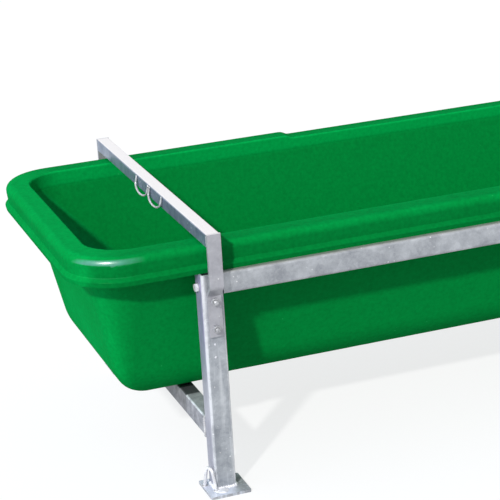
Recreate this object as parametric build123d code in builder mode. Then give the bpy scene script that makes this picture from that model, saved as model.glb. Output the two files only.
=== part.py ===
"""Feed trough: a moulded plastic trough hung by its rim in a bolted frame of galvanised square tube."""
import os
from math import cos, pi, radians, sin, sqrt, tan

from build123d import *

os.makedirs("parts", exist_ok=True)

# Driving dimensions in millimetres.
# X runs along the trough, Y across it and Z up; the origin is on the ground under the middle.

# Frame of square tube
END_OVERHANG = 213.0  # the trough's crown stands out this far past the legs, along X
FRAME_WIDTH = 650.0  # over the outsides of the legs, along Y
RAIL_TOP = 410.0  # height of the rails' upper faces, where the trough's rim sits
TUBE = 40.0  # legs and rails are the same square tube
TUBE_WALL = 3.0
TUBE_CORNER = 6.0
CROSS_WIDTH = 30.0  # cross tube, along X
CROSS_HEIGHT = 40.0
CROSS_TOP = 132.0
CROSS_CORNER = 4.0

# Feet
PLATE = 75.0
PLATE_THICKNESS = 5.0
PLATE_CORNER = 3.0
PLATE_OUTSET = 10.5  # how far the plate's middle stands outside the leg's middle, along Y
FOOT_ROD = 6.0
FOOT_LOOP_STRAIGHT = 32.0  # height of the rod's straight sides over the plate
FOOT_LOOP_SPREAD = 31.5  # between the rod's two feet
FOOT_LOOP_NECK = 18.0  # between the rod's two sides where the top bend starts
FOOT_LOOP_TURN = radians(67.5)  # the loop stands askew over the leg's outer corner
FOOT_LOOP_OUT = 7.0  # loop's middle, outside the leg's end face
FOOT_LOOP_BACK = 9.5  # loop's middle, behind the leg's side face
FOOT_LOOP_SINK = 2.0  # rod drawn this far under the plate's top, then cut level with it

# Hoops: a square tube over the trough, with a cranked flat strap down to the leg at each end
HOOP = 25.0
HOOP_WALL = 2.5
HOOP_CORNER = 3.0
HOOP_CLEARANCE = 4.0  # between the trough's rim and the hoop
STRAP = 6.0
CRANK_START = 17.0  # below the rails' tops, where the strap starts to lean in to the leg
CRANK_DROP = 19.0  # height of the leaning part; from there down the strap lies on the leg
CRANK_BEND = 8.0
STRAP_MARGIN = 15.0  # from the lower bolt to the strap's end

# Tether loops on the hoops
TETHER_ROD = 4.0
TETHER_SPREAD = 74.0  # between the rod's two legs
TETHER_PITCH = 83.0  # from the middle of one loop to the middle of the next
TETHER_SHIFT = -18.0  # the pair's middle, from the hoop's middle
TETHER_TOP = 4.0  # the rod ends this far under the hoop's top
TETHER_HANG = 2.0  # the bow's middle hangs this far below the hoop
TETHER_GAP = 5.0  # open width between the hoop's face and the bow
TETHER_BOW = 14.0  # height of the round bow under the straight legs
TETHER_SEAT = 1.0  # depth of the flat where a leg's end lies on the hoop's face

# Bolts, nuts and washers
BOLT = 8.0
BOLT_HOLE = 9.0
THREAD_PLAY = 0.1  # between the shank and the thread of a nut or plug, on the diameter
HEAD_FLATS = 13.0
HEAD_HEIGHT = 5.3
NUT_HEIGHT = 6.8
WASHER = 16.0
WASHER_THICKNESS = 1.6
BOLT_END = 7.0  # shank showing past the nut or the plug
RAIL_BOLT_DROP = 6.0  # below the rail's middle
HOOP_BOLT_DROP = 11.0  # from the crank's lower end to the upper bolt
HOOP_BOLT_PITCH = 51.0
PLUG_LENGTH = 12.0
PLUG_PLAY = 0.2

# Trough
TROUGH_LENGTH = 1746.0  # over the rim's crown
RIM_SETBACK = 15.0  # the crown stands in this far from the rails' outer faces
WALL = 6.0
RIM_HEIGHT = 51.0  # from the lip on the rails to the rim's top
RIM_CORNER = 98.0
RIM_OUTER_ROUND = 14.0
SKIRT_LEAN = radians(6.0)  # the skirt draws in below the crown
RIM_INNER_ROUND = 4.0
BAND_HEIGHT = 9.0  # thicker band round the skirt's foot
BAND_OUT = 4.5  # outside the crown
BAND_DRAFT = 2.0  # the band's face draws in by this much down to its foot
BAND_ROUND = 1.5
FLARE_HEIGHT = 8.0  # the skirt flares out to the band over this height
FLARE_ROOT = 1.0  # the flare starts this far inside the skirt's face
END_SETBACK = 41.5  # from the crown's outside to the end wall, at the rails' height
SIDE_SETBACK = 46.0
WALL_CORNER_TOP = 74.0
WALL_CORNER_FLOOR = 15.0
END_LEAN = radians(11.5)
SIDE_LEAN = radians(17.6)
FOOT_RADIUS = 94.0  # round foot between the walls and the floor
FOOT_SECTIONS = 7
CREASE_RISE = 20.0  # the leaning wall turns upright here, above the rails
MIDDLE_RISE = 8.0  # the floor's long middle is higher than its ends, which rest on the cross tubes
POCKET_REACH = 20.0  # the low ends of the floor reach this far inside the cross tubes
RECESS_DEPTH = 6.0  # the rim's rear side is lowered in the middle
RECESS_LENGTH = 510.0
RECESS_RAMP = 22.0

# Places worked out from the sizes above
FRAME_LENGTH = TROUGH_LENGTH - 2 * END_OVERHANG
TROUGH_WIDTH = FRAME_WIDTH - 2 * RIM_SETBACK
LEG_X = (FRAME_LENGTH - TUBE) / 2
LEG_Y = (FRAME_WIDTH - TUBE) / 2
END_X = FRAME_LENGTH / 2
SIDE_Y = FRAME_WIDTH / 2
RAIL_MID = RAIL_TOP - TUBE / 2
RAIL_BOLT_Z = RAIL_MID - RAIL_BOLT_DROP
RAIL_END = END_X - TUBE
RIM_TOP = RAIL_TOP + RIM_HEIGHT
HOOP_TOP = RIM_TOP + HOOP_CLEARANCE + HOOP
CRANK_TOP = RAIL_TOP - CRANK_START
CRANK_BOTTOM = CRANK_TOP - CRANK_DROP
HOOP_BOLT_TOP = CRANK_BOTTOM - HOOP_BOLT_DROP
HOOP_BOLT_HEIGHTS = (HOOP_BOLT_TOP, HOOP_BOLT_TOP - HOOP_BOLT_PITCH)
STRAP_BOTTOM = HOOP_BOLT_TOP - HOOP_BOLT_PITCH - STRAP_MARGIN
CROWN_X = TROUGH_LENGTH / 2
CROWN_Y = TROUGH_WIDTH / 2
CROWN_OVER = RIM_OUTER_ROUND / tan(pi / 4 - SKIRT_LEAN / 2) - RIM_OUTER_ROUND  # sharp edge before rounding
WALL_X = CROWN_X - END_SETBACK
WALL_Y = CROWN_Y - SIDE_SETBACK
CREASE_Z = RAIL_TOP + CREASE_RISE
BAND_TOP = RAIL_TOP + BAND_HEIGHT
FLARE_TOP = BAND_TOP + FLARE_HEIGHT
END_FLOOR = CROSS_TOP
MIDDLE_FLOOR = END_FLOOR + MIDDLE_RISE
MIDDLE_LENGTH = 2 * (END_X - CROSS_WIDTH - POCKET_REACH)

ENDS = {"left": -1, "right": 1}
SIDES = {"front": -1, "rear": 1}
CORNERS = {f"{side}_{end}": (sx, sy) for side, sy in SIDES.items() for end, sx in ENDS.items()}


def save(builder, label):
    """Names a finished piece and writes it to its own file."""
    builder.part.label = label
    export_step(builder.part, f"parts/{label}.step")


def tube_section(width, depth, wall, corner):
    """Draws a hollow rounded rectangle in the open sketch."""
    RectangleRounded(width, depth, corner)
    RectangleRounded(width - 2 * wall, depth - 2 * wall, max(corner - wall, wall / 5), mode=Mode.SUBTRACT)


def rim_rectangle(inset):
    """Draws the rim's outline in the open sketch, drawn in by inset from the crown's outside."""
    RectangleRounded(2 * (CROWN_X - inset), 2 * (CROWN_Y - inset), RIM_CORNER - inset)


def skirt_inset(z):
    """How far in from the crown's outside the skirt stands at height z."""
    return (RIM_TOP - z) * tan(SKIRT_LEAN) - CROWN_OVER


def rim_block(skin, top):
    """Adds to the open part a block in the rim's outline from the rails up to top, drawn in by skin."""
    outlines = []
    for height in (RAIL_TOP, top):
        with BuildSketch(Plane.XY.offset(height)) as outline:
            rim_rectangle(skirt_inset(height) + skin)
        outlines.append(outline.sketch)
    loft(outlines, ruled=True)


def wall_inset(z, lean, skin, floor):
    """How far in the wall stands at height z; skin is 0 for its outside and its thickness for its inside."""
    centre_z = floor + FOOT_RADIUS
    radius = FOOT_RADIUS - skin
    drop = centre_z - z
    if drop <= radius * sin(lean):
        return (RAIL_TOP - z) * tan(lean) + skin / cos(lean)
    centre = (RAIL_TOP - centre_z) * tan(lean) + FOOT_RADIUS / cos(lean)
    return centre - sqrt(max(radius**2 - drop**2, 0))


def wall_rectangle(z, skin, floor=END_FLOOR, mode=Mode.ADD):
    """Draws the wall's outline at height z in the open sketch."""
    share = (z - END_FLOOR) / (RAIL_TOP - END_FLOOR)
    corner = WALL_CORNER_FLOOR + (WALL_CORNER_TOP - WALL_CORNER_FLOOR) * share - skin
    length = 2 * (WALL_X - wall_inset(z, END_LEAN, skin, floor))
    width = 2 * (WALL_Y - wall_inset(z, SIDE_LEAN, skin, floor))
    RectangleRounded(length, width, corner, mode=mode)


def basin(skin, floor):
    """Solid of the trough below the crease: leaning walls and a round foot down to a flat floor."""
    lean = min(END_LEAN, SIDE_LEAN)
    turns = [lean + (pi / 2 - lean) * step / FOOT_SECTIONS for step in range(FOOT_SECTIONS + 1)]
    heights = [floor + FOOT_RADIUS - (FOOT_RADIUS - skin) * sin(turn) for turn in turns]
    with BuildPart() as body:
        for height in (CREASE_Z, heights[0]):
            with BuildSketch(Plane.XY.offset(height)):
                wall_rectangle(height, skin, floor)
        loft(ruled=True)
        for height in heights:
            with BuildSketch(Plane.XY.offset(height)):
                wall_rectangle(height, skin, floor)
        loft()
    return body.part


def stepped_basin(skin):
    """The basin with its floor's long middle raised; inside, the step stands a wall further out."""
    shallow = basin(skin, MIDDLE_FLOOR)
    deep = basin(skin, END_FLOOR)
    middle_size = (MIDDLE_LENGTH + 2 * skin, TROUGH_WIDTH, 2 * RIM_TOP)
    with BuildPart() as middle:
        add(shallow)
        Box(*middle_size, mode=Mode.INTERSECT)
    with BuildPart() as body:
        add(deep)
        Box(*middle_size, mode=Mode.SUBTRACT)
        add(middle.part)
    return body.part


def recess_profile(drop):
    """Draws, seen from the side, the space over the lowered middle of the rim."""
    top = RIM_TOP - drop
    low = top - RECESS_DEPTH
    middle = (low + top) / 2
    half = RECESS_LENGTH / 2
    end = half + RECESS_RAMP
    over = RIM_TOP + RIM_HEIGHT
    with BuildLine() as outline:
        Line((-half, low), (half, low))
        for side in (-1, 1):
            foot = TangentArc((side * half, low), (side * (half + end) / 2, middle), tangent=(side, 0))
            head = TangentArc(foot @ 1, (side * end, top), tangent=foot % 1)
            Line(head @ 1, (side * end, over))
        Line((-end, over), (end, over))
    make_face(outline.edges())


def rim_edges(edges):
    """Picks the edges that run round the top of the rim."""
    lowest = RIM_TOP - RECESS_DEPTH - 1
    ring = [edge for edge in edges if edge.center().Z > lowest]
    return [
        edge for edge in ring
        if abs(edge.center().X) > RECESS_LENGTH
        or (abs(edge.center().Y) > CROWN_Y / 2 and abs((edge % 0.5).Y) < 0.5)
    ]


def hex_bolt(seat, length):
    """Adds a bolt to the open part: its head stands on the seat, its shank runs down from it."""
    with BuildSketch(seat) as head:
        RegularPolygon(HEAD_FLATS / 2, 6, major_radius=False)
    extrude(head.sketch, amount=HEAD_HEIGHT)
    with BuildSketch(seat) as shank:
        Circle((BOLT - THREAD_PLAY) / 2)
    extrude(shank.sketch, amount=-length)


def washer(seat):
    """Adds a washer to the open part, lying on the seat."""
    with BuildSketch(seat) as ring:
        Circle(WASHER / 2)
        Circle(BOLT_HOLE / 2, mode=Mode.SUBTRACT)
    extrude(ring.sketch, amount=WASHER_THICKNESS)


def end_seat(sx, sy, x):
    """Plane square to X on a rail bolt's axis, facing out of the frame's end."""
    return Plane(origin=(sx * x, sy * LEG_Y, RAIL_BOLT_Z), x_dir=(0, 1, 0), z_dir=(sx, 0, 0))


def side_seat(sx, y, z, out):
    """Plane square to Y on a hoop bolt's axis, facing along out."""
    return Plane(origin=(sx * LEG_X, y, z), x_dir=(1, 0, 0), z_dir=(0, out, 0))


# Trough: the hollow under its rim and the band round its skirt are made first.
trough_outside = stepped_basin(0)
trough_inside = stepped_basin(WALL)

with BuildPart() as rim_hollow:
    rim_block(WALL, RIM_TOP - WALL)
    fillet(rim_hollow.edges().group_by(Axis.Z)[-1], RIM_OUTER_ROUND - WALL)
    with BuildSketch(Plane.XY.offset(CREASE_Z)):
        wall_rectangle(CREASE_Z, 0)
    extrude(amount=RIM_TOP - CREASE_Z, mode=Mode.SUBTRACT)
    with BuildSketch(Plane.XZ):
        recess_profile(WALL)
    extrude(amount=-TROUGH_WIDTH, mode=Mode.SUBTRACT)

with BuildPart() as rim_band:
    for height, inset in (
        (RAIL_TOP, BAND_DRAFT - BAND_OUT),
        (BAND_TOP, -BAND_OUT),
        (FLARE_TOP, skirt_inset(FLARE_TOP) + FLARE_ROOT),
    ):
        with BuildSketch(Plane.XY.offset(height)):
            rim_rectangle(inset)
    loft(ruled=True)
    fillet(rim_band.edges().filter_by_position(Axis.Z, BAND_TOP, BAND_TOP), BAND_ROUND)
    with BuildSketch(Plane.XY.offset(RAIL_TOP)):
        rim_rectangle(skirt_inset(RAIL_TOP) + WALL / 2)
    extrude(amount=FLARE_TOP - RAIL_TOP, mode=Mode.SUBTRACT)

with BuildPart() as trough_shell:
    rim_block(0, RIM_TOP)
    with BuildSketch(Plane.XZ):
        recess_profile(0)
    extrude(amount=-TROUGH_WIDTH, mode=Mode.SUBTRACT)
    fillet(rim_edges(trough_shell.edges()), RIM_OUTER_ROUND)
    with BuildSketch(Plane.XY.offset(RAIL_TOP)):
        wall_rectangle(CREASE_Z, WALL)
    extrude(amount=RIM_HEIGHT, mode=Mode.SUBTRACT)
    fillet(rim_edges(trough_shell.edges(Select.LAST)), RIM_INNER_ROUND)
    add(rim_hollow.part, mode=Mode.SUBTRACT)
    add(rim_band.part)
    add(trough_outside)
    add(trough_inside, mode=Mode.SUBTRACT)
save(trough_shell, "trough_shell")

# Legs, each with a plate and a loop of rod at its foot.
for place, (sx, sy) in CORNERS.items():
    with BuildPart() as leg:
        with BuildSketch(Plane.XY.offset(PLATE_THICKNESS)):
            with Locations((sx * LEG_X, sy * LEG_Y)):
                tube_section(TUBE, TUBE, TUBE_WALL, TUBE_CORNER)
        extrude(amount=RAIL_TOP - PLATE_THICKNESS)
        with Locations(end_seat(sx, sy, LEG_X)):
            Hole(BOLT_HOLE / 2)
        for height in HOOP_BOLT_HEIGHTS:
            with Locations(side_seat(sx, sy * LEG_Y, height, sy)):
                Hole(BOLT_HOLE / 2)
    save(leg, f"leg_{place}")

    with BuildPart() as foot_plate:
        with BuildSketch():
            with Locations((sx * LEG_X, sy * (LEG_Y + PLATE_OUTSET))):
                RectangleRounded(PLATE, PLATE, PLATE_CORNER)
        extrude(amount=PLATE_THICKNESS)
    save(foot_plate, f"foot_plate_{place}")

    with BuildPart() as foot_loop:
        along = Vector(-sx * cos(FOOT_LOOP_TURN), sy * sin(FOOT_LOOP_TURN), 0)
        spot = (sx * (END_X + FOOT_LOOP_OUT), sy * (SIDE_Y - FOOT_LOOP_BACK), PLATE_THICKNESS)
        with BuildLine(Plane(origin=spot, x_dir=along, z_dir=along.cross(Vector(0, 0, 1)))) as bend:
            lean_out = (FOOT_LOOP_SPREAD - FOOT_LOOP_NECK) / 2 / FOOT_LOOP_STRAIGHT
            low = FOOT_LOOP_SPREAD / 2 + lean_out * FOOT_LOOP_SINK
            rise = Line((-low, -FOOT_LOOP_SINK), (-FOOT_LOOP_NECK / 2, FOOT_LOOP_STRAIGHT))
            fall = Line((FOOT_LOOP_NECK / 2, FOOT_LOOP_STRAIGHT), (low, -FOOT_LOOP_SINK))
            TangentArc(rise @ 1, fall @ 0, tangent=rise % 1)
        with BuildSketch(Plane(origin=bend.line @ 0, z_dir=bend.line % 0)):
            Circle(FOOT_ROD / 2)
        sweep(path=bend.line)
        split(bisect_by=Plane.XY.offset(PLATE_THICKNESS), keep=Keep.TOP)
    save(foot_loop, f"foot_loop_{place}")

# Cross tubes between the legs of each end, under the trough's end pockets.
for end, sx in ENDS.items():
    with BuildPart() as cross_tube:
        with BuildSketch(Plane.XZ):
            with Locations((sx * (END_X - CROSS_WIDTH / 2), CROSS_TOP - CROSS_HEIGHT / 2)):
                tube_section(CROSS_WIDTH, CROSS_HEIGHT, TUBE_WALL, CROSS_CORNER)
        extrude(amount=SIDE_Y - TUBE, both=True)
    save(cross_tube, f"cross_tube_{end}")

# Rails under the trough's rim, from leg to leg.
for side, sy in SIDES.items():
    with BuildPart() as rail:
        with BuildSketch(Plane.YZ):
            with Locations((sy * LEG_Y, RAIL_MID)):
                tube_section(TUBE, TUBE, TUBE_WALL, TUBE_CORNER)
        extrude(amount=RAIL_END, both=True)
    save(rail, f"rail_{side}")

# Threaded plugs in the rails' ends.
for place, (sx, sy) in CORNERS.items():
    with BuildPart() as rail_plug:
        bore = TUBE - 2 * TUBE_WALL - 2 * PLUG_PLAY
        with BuildSketch(end_seat(sx, sy, RAIL_END)):
            with Locations((0, sx * RAIL_BOLT_DROP)):
                RectangleRounded(bore, bore, TUBE_CORNER - TUBE_WALL)
            Circle(BOLT / 2, mode=Mode.SUBTRACT)
        extrude(amount=-PLUG_LENGTH)
    save(rail_plug, f"rail_plug_{place}")

# Hoops over the trough: a square tube across, closed at each end by the strap that is welded to it.
for end, sx in ENDS.items():
    with BuildPart() as hoop_bar:
        with BuildSketch(Plane.XZ):
            with Locations((sx * LEG_X, HOOP_TOP - HOOP / 2)):
                tube_section(HOOP, HOOP, HOOP_WALL, HOOP_CORNER)
        extrude(amount=SIDE_Y + HOOP - STRAP, both=True)
    save(hoop_bar, f"hoop_bar_{end}")

for place, (sx, sy) in CORNERS.items():
    with BuildPart() as hoop_strap:
        high_y = sy * (SIDE_Y + HOOP - STRAP / 2)
        low_y = sy * (SIDE_Y + STRAP / 2)
        with BuildLine(Plane.YZ.offset(sx * LEG_X)) as bend:
            upper = ((high_y, HOOP_TOP), (high_y, CRANK_TOP))
            lower = ((low_y, CRANK_BOTTOM), (low_y, STRAP_BOTTOM))
            FilletPolyline(*upper, *lower, radius=CRANK_BEND)
        with BuildSketch(Plane(origin=bend.line @ 0, x_dir=(1, 0, 0), z_dir=(0, 0, -1))):
            Rectangle(HOOP, STRAP)
        sweep(path=bend.line)
        for height in HOOP_BOLT_HEIGHTS:
            with Locations(side_seat(sx, low_y, height, sy)):
                Hole(BOLT_HOLE / 2)
    save(hoop_strap, f"hoop_strap_{place}")

# Tether loops, two side by side on the outer face of each hoop.
for end, sx in ENDS.items():
    for side, sy in SIDES.items():
        with BuildPart() as tether_loop:
            face = sx * (LEG_X + HOOP / 2)
            middle = TETHER_SHIFT + sy * TETHER_PITCH / 2
            top = Vector(face + sx * (TETHER_ROD / 2 - TETHER_SEAT), middle, HOOP_TOP - TETHER_TOP)
            bow = Vector(face + sx * (TETHER_ROD / 2 + TETHER_GAP), middle, HOOP_TOP - HOOP - TETHER_HANG)
            half = TETHER_SPREAD / 2
            straight = (top - bow).length - TETHER_BOW
            across = Vector(0, 1, 0)
            with BuildLine(Plane(origin=top, x_dir=across, z_dir=across.cross(top - bow))) as bend:
                Line((-half, 0), (-half, -straight))
                EllipticalCenterArc((0, -straight), half, TETHER_BOW, start_angle=180, arc_size=180)
                Line((half, -straight), (half, 0))
            with BuildSketch(Plane(origin=bend.line @ 0, z_dir=bend.line % 0)):
                Circle(TETHER_ROD / 2)
            sweep(path=bend.line)
            split(bisect_by=Plane(origin=(face, 0, 0), z_dir=(sx, 0, 0)), keep=Keep.TOP)
        save(tether_loop, f"tether_loop_{end}_{side}")

# Bolts that hold the rails, from the legs' end faces into the plugs.
with BuildPart() as rail_bolts:
    for sx, sy in CORNERS.values():
        hex_bolt(end_seat(sx, sy, END_X + WASHER_THICKNESS), WASHER_THICKNESS + TUBE + PLUG_LENGTH + BOLT_END)
save(rail_bolts, "rail_bolts")

with BuildPart() as rail_washers:
    for sx, sy in CORNERS.values():
        washer(end_seat(sx, sy, END_X))
save(rail_washers, "rail_washers")

# Bolts that hold the hoops, from inside the legs, with a nut on the outside of the strap.
INNER_Y = SIDE_Y - TUBE
OUTER_Y = SIDE_Y + STRAP
with BuildPart() as hoop_bolts:
    for sx, sy in CORNERS.values():
        for height in HOOP_BOLT_HEIGHTS:
            length = WASHER_THICKNESS + TUBE + STRAP + NUT_HEIGHT + BOLT_END
            hex_bolt(side_seat(sx, sy * (INNER_Y - WASHER_THICKNESS), height, -sy), length)
save(hoop_bolts, "hoop_bolts")

with BuildPart() as hoop_washers_inner:
    for sx, sy in CORNERS.values():
        for height in HOOP_BOLT_HEIGHTS:
            washer(side_seat(sx, sy * INNER_Y, height, -sy))
save(hoop_washers_inner, "hoop_washers_inner")

with BuildPart() as hoop_nuts:
    for sx, sy in CORNERS.values():
        for height in HOOP_BOLT_HEIGHTS:
            with BuildSketch(side_seat(sx, sy * OUTER_Y, height, sy)):
                RegularPolygon(HEAD_FLATS / 2, 6, major_radius=False)
                Circle(BOLT / 2, mode=Mode.SUBTRACT)
            extrude(amount=NUT_HEIGHT)
save(hoop_nuts, "hoop_nuts")
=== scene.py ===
from math import cos, pi, radians, sin, tan
import bmesh
import bpy
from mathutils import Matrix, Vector


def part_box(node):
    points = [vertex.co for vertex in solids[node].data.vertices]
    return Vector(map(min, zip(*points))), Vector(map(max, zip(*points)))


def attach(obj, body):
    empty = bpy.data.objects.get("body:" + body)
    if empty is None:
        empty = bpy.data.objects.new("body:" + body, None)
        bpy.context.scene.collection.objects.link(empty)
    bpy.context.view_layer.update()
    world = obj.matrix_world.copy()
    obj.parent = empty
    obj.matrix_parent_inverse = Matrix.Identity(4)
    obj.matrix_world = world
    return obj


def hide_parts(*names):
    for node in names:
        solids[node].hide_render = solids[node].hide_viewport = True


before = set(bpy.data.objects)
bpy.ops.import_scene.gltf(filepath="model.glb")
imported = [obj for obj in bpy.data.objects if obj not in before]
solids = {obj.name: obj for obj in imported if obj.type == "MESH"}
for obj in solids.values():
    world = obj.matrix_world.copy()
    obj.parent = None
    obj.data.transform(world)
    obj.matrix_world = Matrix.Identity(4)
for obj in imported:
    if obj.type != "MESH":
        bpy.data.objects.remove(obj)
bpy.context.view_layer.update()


# End frames and rails: legs and rails of 40 mm square steel tube, and a 30 x 40 mm cross tube
# between each pair of legs. The end frames are welded, then dipped in molten zinc, which sets
# in grey clouds with a fine spangle and leaves runs and pale spots where it drained.

ENDS = ("left", "right")
SIDES = ("front", "rear")
CORNERS = [side + "_" + end for side in SIDES for end in ENDS]
TUBE = 0.040
leg_low, leg_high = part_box("leg_front_right")
LEG_X = leg_high.x
LEG_Y = -leg_low.y


def put(tree, kind, wires=None, **settings):
    """Adds a node, and wires each named input to an output or gives it a value."""
    node = tree.nodes.new(kind)
    for name, value in settings.items():
        setattr(node, name, value)
    for socket, value in (wires or {}).items():
        if isinstance(value, bpy.types.NodeSocket):
            tree.links.new(value, node.inputs[socket])
        else:
            node.inputs[socket].default_value = value
    return node


def group(kind, name, takes, gives):
    """Starts a node group with named sockets, and returns it with its first and last node."""
    tree = bpy.data.node_groups.new(name, kind)
    for side, sockets in (("INPUT", takes), ("OUTPUT", gives)):
        for label, sort in sockets.items():
            tree.interface.new_socket(label, in_out=side, socket_type="NodeSocket" + sort)
    return tree, tree.nodes.new("NodeGroupInput"), tree.nodes.new("NodeGroupOutput")


def give(tree, last, **outputs):
    """Wires what a group puts out."""
    for label, socket in outputs.items():
        tree.links.new(socket, last.inputs[label])


def sums(tree, operation, first, second=0.0):
    return put(tree, "ShaderNodeMath", {0: first, 1: second}, operation=operation).outputs[0]


def product(tree, first, *others):
    """Multiplies masks with each other or with a share."""
    for other in others:
        first = sums(tree, "MULTIPLY", first, other)
    return first


def vectors(tree, operation, first, second):
    node = put(tree, "ShaderNodeVectorMath", {0: first, 1: second}, operation=operation)
    return node.outputs["Value" if operation == "DOT_PRODUCT" else "Vector"]


def axes(tree, vector):
    """The X, Y and Z of a vector."""
    return put(tree, "ShaderNodeSeparateXYZ", {0: vector}).outputs


def reaches(tree, vector):
    """How far a vector reaches along X, Y and Z, whichever way it points."""
    both_ways = put(tree, "ShaderNodeVectorMath", {0: vector}, operation="ABSOLUTE")
    return axes(tree, both_ways.outputs["Vector"])


def span(tree, value, limits, to=(0.0, 1.0)):
    """Stretches a value from its limits to others, and stops it there."""
    wires = {0: value, 1: limits[0], 2: limits[1], 3: to[0], 4: to[1]}
    return put(tree, "ShaderNodeMapRange", wires).outputs[0]


def tint(tree, share, first, second):
    """Mixes two colours, each given by a socket or as red, green and blue."""
    first, second = ((*one, 1.0) if isinstance(one, tuple) else one for one in (first, second))
    return put(tree, "ShaderNodeMix", {0: share, 6: first, 7: second}, data_type="RGBA").outputs[2]


def noise(tree, vector, scale, detail=2.0, roughness=0.5):
    wires = {"Vector": vector, "Scale": scale, "Detail": detail, "Roughness": roughness}
    return put(tree, "ShaderNodeTexNoise", wires)


NOISE_MIDDLE = (0.5, 0.5, 0.5)
MOST_NOISE = (0.3, 0.7)
WHOLE = (0.0, 1.0)

zinc_skin, first, last = group(
    "ShaderNodeTree", "zinc_skin",
    {"Vector": "Vector", "Spangle": "Float", "Cloud": "Float"},
    {"Tone": "Float", "Rough": "Float", "Height": "Float"})
FLAKE_WARP = (0.012, 0.012, 0.012)
FLAKE_TONE = (-0.16, 0.16)
FLAKE_ROUGH = (-0.05, 0.05)
CLOUD_ROUGH = (0.07, -0.07)
CLOUD_HEIGHT = 0.6
GRAIN_TONE = (-0.12, 0.12)
GRAIN_HEIGHT = 0.25
place = first.outputs["Vector"]
warp = noise(zinc_skin, place, scale=80.0).outputs["Color"]
warp = vectors(zinc_skin, "SUBTRACT", warp, NOISE_MIDDLE)
warp = vectors(zinc_skin, "MULTIPLY", warp, FLAKE_WARP)
warp = vectors(zinc_skin, "ADD", place, warp)
flakes = put(zinc_skin, "ShaderNodeTexVoronoi", {"Vector": warp, "Scale": first.outputs["Spangle"]})
flakes = put(zinc_skin, "ShaderNodeSeparateColor", {"Color": flakes.outputs["Color"]}).outputs["Red"]
cloud = noise(zinc_skin, place, first.outputs["Cloud"], detail=5.0, roughness=0.62).outputs["Fac"]
grain = noise(zinc_skin, place, scale=620.0, detail=3.0, roughness=0.6).outputs["Fac"]
tone = span(zinc_skin, flakes, WHOLE, FLAKE_TONE)
tone = sums(zinc_skin, "ADD", tone, span(zinc_skin, cloud, MOST_NOISE))
tone = sums(zinc_skin, "ADD", tone, span(zinc_skin, grain, MOST_NOISE, GRAIN_TONE))
rough = span(zinc_skin, flakes, WHOLE, FLAKE_ROUGH)
rough = sums(zinc_skin, "ADD", rough, span(zinc_skin, cloud, MOST_NOISE, CLOUD_ROUGH))
height = product(zinc_skin, cloud, CLOUD_HEIGHT)
height = sums(zinc_skin, "ADD", height, product(zinc_skin, grain, GRAIN_HEIGHT))
give(zinc_skin, last, Tone=span(zinc_skin, tone, WHOLE), Rough=rough, Height=height)

zinc_runs, first, last = group(
    "ShaderNodeTree", "zinc_runs",
    {"Vector": "Vector", "Width": "Float"}, {"Runs": "Float", "Spots": "Float"})
RUN_STRETCH = (1.0, 1.0, 0.07)
RUN_EDGE = (0.53, 0.70)
SPOT_EDGE = (0.16, 0.07)
SPOT_AREA_EDGE = (0.53, 0.60)
place = first.outputs["Vector"]
tall = vectors(zinc_runs, "MULTIPLY", place, RUN_STRETCH)
runs = noise(zinc_runs, tall, first.outputs["Width"], detail=3.0).outputs["Fac"]
runs = span(zinc_runs, runs, RUN_EDGE)
dots = put(zinc_runs, "ShaderNodeTexVoronoi", {"Vector": place, "Scale": 95.0})
dots = span(zinc_runs, dots.outputs["Distance"], SPOT_EDGE)
few = span(zinc_runs, noise(zinc_runs, place, scale=26.0).outputs["Fac"], SPOT_AREA_EDGE)
give(zinc_runs, last, Runs=runs, Spots=product(zinc_runs, dots, few))

# A painted highlight on rounded edges, where a face's normal no longer lies along an axis.
edge_highlight, first, last = group(
    "ShaderNodeTree", "edge_highlight", {"Normal": "Vector"}, {"Edge": "Float"})
FLAT_TO_ROUND = (0.985, 0.90)
sides = reaches(edge_highlight, first.outputs["Normal"])
square = sums(edge_highlight, "MAXIMUM", sides["X"], sides["Y"])
square = sums(edge_highlight, "MAXIMUM", square, sides["Z"])
give(edge_highlight, last, Edge=span(edge_highlight, square, FLAT_TO_ROUND))

# A painted highlight down a leg's outer corner, wider in its upper part.
corner_highlight, first, last = group(
    "ShaderNodeTree", "corner_highlight", {"Vector": "Vector"}, {"Corner": "Float"})
CORNER_HIGHLIGHT_DEPTH = 0.010
CORNER_HIGHLIGHT_FULL = 0.006
CORNER_HIGHLIGHT_HEIGHTS = (0.24, 0.31)
CORNER_HIGHLIGHT_NARROWING = (-0.0065, 0.0)
away = reaches(corner_highlight, first.outputs["Vector"])
reach = span(corner_highlight, away["Z"], CORNER_HIGHLIGHT_HEIGHTS, CORNER_HIGHLIGHT_NARROWING)
reach = sums(corner_highlight, "ADD", away["X"], reach)
corner = product(
    corner_highlight,
    span(corner_highlight, reach, (LEG_X - CORNER_HIGHLIGHT_DEPTH, LEG_X - CORNER_HIGHLIGHT_FULL)),
    span(corner_highlight, away["Y"], (LEG_Y - CORNER_HIGHLIGHT_DEPTH, LEG_Y - CORNER_HIGHLIGHT_FULL)))
give(corner_highlight, last, Corner=corner)

RUN_WIDTH = 120.0
SPOT_SHARE = 0.8
SPOT_GREY = (0.86, 0.86, 0.86)
# Painted highlights on rounded edges and down the legs' outer corners.
EDGE_HIGHLIGHT_GREY = (0.80, 0.82, 0.85)
CORNER_HIGHLIGHT_GREY = (0.68, 0.69, 0.72)
# Painted shade and sky reflection on the legs' end faces: lavender grey low down, purple higher up.
END_FACE_SHADE_LOW = (0.33, 0.325, 0.42)
END_FACE_SHADE_HIGH = (0.45, 0.35, 0.68)
END_HEIGHTS = (0.20, 0.31)
END_FACES = (0.90, 0.98)
END_FACE_SHADE_SHARE = 0.60
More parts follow.
